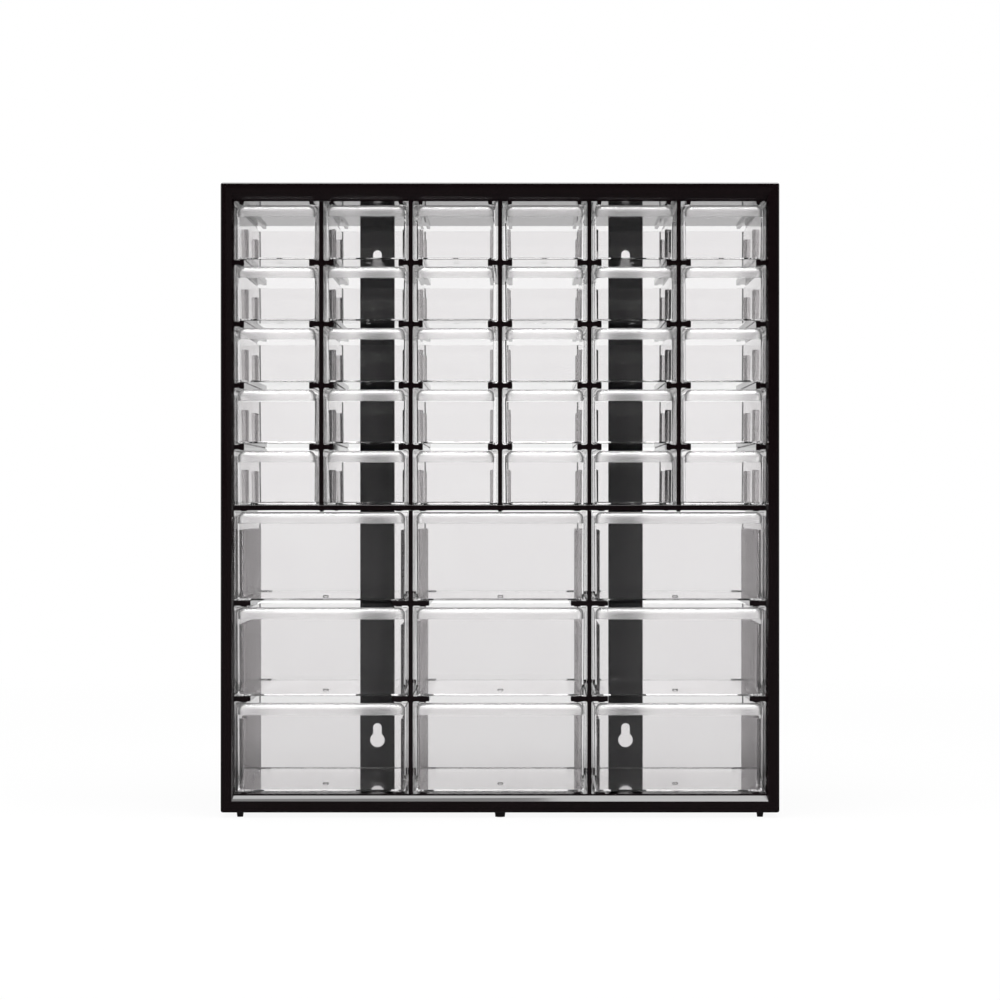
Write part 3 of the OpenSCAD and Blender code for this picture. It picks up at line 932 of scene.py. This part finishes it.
@dataclass(frozen=True)
class SoftBox:
    """A rectangular studio lamp."""

    name: str
    place: Point
    size: tuple[float, float]
    radiance: float

    def build(self, target: Vector) -> None:
        """Hang the lamp so that it faces a point, unseen by the lens.

        Args:
            target: The point that it faces.
        """
        data = bpy.data.lights.new(self.name, "AREA")
        data.shape, data.size, data.size_y = "RECTANGLE", self.size[0], self.size[1]
        data.energy = self.radiance * math.pi * self.size[0] * self.size[1]
        lamp = bpy.data.objects.new(self.name, data)
        lamp.location = self.place
        lamp.rotation_euler = (target - Vector(self.place)).to_track_quat("-Z", "Y").to_euler()
        lamp.visible_camera = False
        bpy.context.scene.collection.objects.link(lamp)


@dataclass
class Studio:
    """Plain pale floor, white surroundings, soft boxes and the camera."""

    eye: Point = (11.3 * MM, -1737.5 * MM, 207.2 * MM)
    lens: float = 91.52
    sensor: float = 36.0
    shift: tuple[float, float] = (-0.0173, 0.0007)
    lamp_target: Point = (0.0, 0.0, 0.2)
    bounces: int = 24
    glossy_bounces: int = 10
    ambient: float = 0.45
    front_tone: float = 0.02
    front_to_back: tuple[float, float] = (-0.55, 0.25)
    high_tone: float = 3.5
    low_to_high: tuple[float, float] = (0.2, 0.75)
    floor_size: float = 60.0
    floor_colour: Point = (0.86, 0.86, 0.86)
    floor_front: float = 0.08
    floor_back: float = 0.9
    floor_span: tuple[float, float] = (-0.1, 0.5)
    shade: float = 0.19
    shade_reach: float = 0.375
    shade_fall: float = 0.45
    shadow_span: tuple[float, float] = (0.35, 1.3)
    shadow_hidden: float = 0.92
    boxes: tuple[SoftBox, ...] = (
        SoftBox("overhead_box", (0.0, -0.30, 1.75), (1.5, 1.0), 6.5),
        SoftBox("left_box", (-1.25, -1.05, 0.24), (0.95, 0.42), 3.05),
        SoftBox("right_box", (1.25, -1.05, 0.24), (0.95, 0.42), 3.05),
    )

    def _white_seen(self, wires: Wiring) -> tuple[Socket, Socket, Socket]:
        """Work out which rays look straight at the white surroundings.

        Args:
            wires: The shader under construction.

        Returns:
            One number for rays from the lens or through clear plastic, one for all reflected or
            refracted rays, and one for rays through clear plastic alone.
        """
        path = wires.node("ShaderNodeLightPath")
        direct = wires.maths("LESS_THAN", path.outputs["Glossy Depth"], 0.5)
        through = wires.maths("MULTIPLY", path.outputs["Is Transmission Ray"], direct)
        seen = wires.maths("MAXIMUM", path.outputs["Is Camera Ray"], through)
        specular = wires.maths("MAXIMUM", path.outputs["Is Glossy Ray"],
                               path.outputs["Is Transmission Ray"])
        return seen, specular, through

    def _sky(self) -> None:
        """Surround the cabinet with white, darker towards the front for reflections."""
        world = bpy.data.worlds.new("studio_white")
        bpy.context.scene.world = world
        wires = Wiring(world)
        seen, specular, _ = self._white_seen(wires)
        way = wires.node("ShaderNodeTexCoord")
        parts = wires.node("ShaderNodeSeparateXYZ")
        wires.link(way.outputs["Generated"], parts.inputs[0])
        around = wires.ranged(parts.outputs["Y"], self.front_to_back, (self.front_tone, 1.0))
        above = wires.ranged(parts.outputs["Z"], self.low_to_high, (0.0, self.high_tone))
        room = wires.maths("ADD", around, above)
        matt = wires.maths("SUBTRACT", 1.0, specular)
        mirrored = wires.maths("ADD", wires.maths("MULTIPLY", specular, room),
                               wires.maths("MULTIPLY", matt, self.ambient))
        unseen = wires.maths("SUBTRACT", 1.0, seen)
        level = wires.maths("ADD", seen, wires.maths("MULTIPLY", unseen, mirrored))
        light = wires.node("ShaderNodeBackground", Color=(1, 1, 1, 1))
        out = wires.node("ShaderNodeOutputWorld")
        wires.link(level, light.inputs["Strength"])
        wires.link(light.outputs[0], out.inputs["Surface"])

    def _floor(self) -> None:
        """Lay the pale floor, white to the eye except for the soft shadow on it; seen through clear
        plastic it carries painted shade close to the cabinet.
        """
        clear_selection()
        bpy.ops.mesh.primitive_plane_add(size=self.floor_size, location=(0, 0, 0))
        floor = bpy.context.object
        floor.name = "floor"
        made = bpy.data.materials.new("pale_floor")
        wires = Wiring(made)
        seen, specular, through = self._white_seen(wires)
        matt = wires.node("ShaderNodeBsdfDiffuse", Color=(*self.floor_colour, 1.0))
        far = wires.node("ShaderNodeVectorMath", operation="LENGTH")
        white = wires.node("ShaderNodeEmission")
        dim = wires.node("ShaderNodeEmission")
        place = wires.node("ShaderNodeTexCoord")
        parts = wires.node("ShaderNodeSeparateXYZ")
        wires.link(place.outputs["Object"], parts.inputs[0])
        # Painted reflection: seen in reflections, the floor glows dim in front of the cabinet and bright
        # behind it.
        tones = (self.floor_front, self.floor_back)
        wires.link(wires.ranged(parts.outputs["Y"], self.floor_span, tones), dim.inputs["Strength"])
        wires.link(place.outputs["Object"], far.inputs[0])
        # Painted shade: seen through clear plastic, the floor is darker the closer it lies to the
        # cabinet.
        closeness = wires.maths("DIVIDE", self.shade_reach, far.outputs["Value"])
        near = wires.maths("POWER", closeness, self.shade_fall)
        shade = wires.maths("MULTIPLY", wires.maths("MULTIPLY", near, self.shade), through)
        wires.link(wires.maths("SUBTRACT", 1.0, shade), white.inputs["Strength"])
        share = wires.ranged(far.outputs["Value"], self.shadow_span, (self.shadow_hidden, 1.0))
        bright = wires.node("ShaderNodeMixShader")
        wires.link(wires.maths("MULTIPLY", seen, share), bright.inputs[0])
        wires.link(matt.outputs[0], bright.inputs[1])
        wires.link(white.outputs[0], bright.inputs[2])
        last = wires.node("ShaderNodeMixShader")
        only = wires.maths("MULTIPLY", specular, wires.maths("SUBTRACT", 1.0, seen))
        wires.link(only, last.inputs[0])
        wires.link(bright.outputs[0], last.inputs[1])
        wires.link(dim.outputs[0], last.inputs[2])
        out = wires.node("ShaderNodeOutputMaterial")
        wires.link(last.outputs[0], out.inputs["Surface"])
        floor.data.materials.append(made)

    def _camera(self) -> None:
        """Stand the camera level in front of the cabinet."""
        data = bpy.data.cameras.new("camera")
        data.lens, data.sensor_width = self.lens, self.sensor
        data.shift_x, data.shift_y = self.shift
        camera = bpy.data.objects.new("camera", data)
        camera.location = self.eye
        camera.rotation_euler = (QUARTER, 0, 0)
        bpy.context.scene.collection.objects.link(camera)
        bpy.context.scene.camera = camera

    def build(self) -> None:
        """Set up floor, surroundings, lamps and camera."""
        scene = bpy.context.scene
        scene.view_settings.view_transform = "Standard"
        scene.cycles.max_bounces = scene.cycles.transmission_bounces = self.bounces
        scene.cycles.glossy_bounces = self.glossy_bounces
        self._sky()
        self._floor()
        for box in self.boxes:
            box.build(Vector(self.lamp_target))
        self._camera()


def main() -> None:
    """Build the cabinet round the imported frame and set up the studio."""
    logging.basicConfig(level=logging.INFO, format="%(name)s: %(message)s")
    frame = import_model()
    Studio().build()
    housing = Housing()
    housing.build(frame["nodes"])
    housing.dress()
    clear = {surface: ClearPlastic(surface).material() for surface in Surface}
    small = DrawerBank("small_drawer", rows=5, columns=6, slots=(0.27, 0.75),
                       rib_reach=2.05 * MM, gate_back=27 * MM)
    large = DrawerBank("large_drawer", rows=3, columns=3, slots=tuple(i / 6 for i in range(1, 6)),
                       rib_reach=2.6 * MM, gate_back=38 * MM)
    for bank in (small, large):
        bank.build(clear)
        bank.mount()


if __name__ == "__main__":
    main()
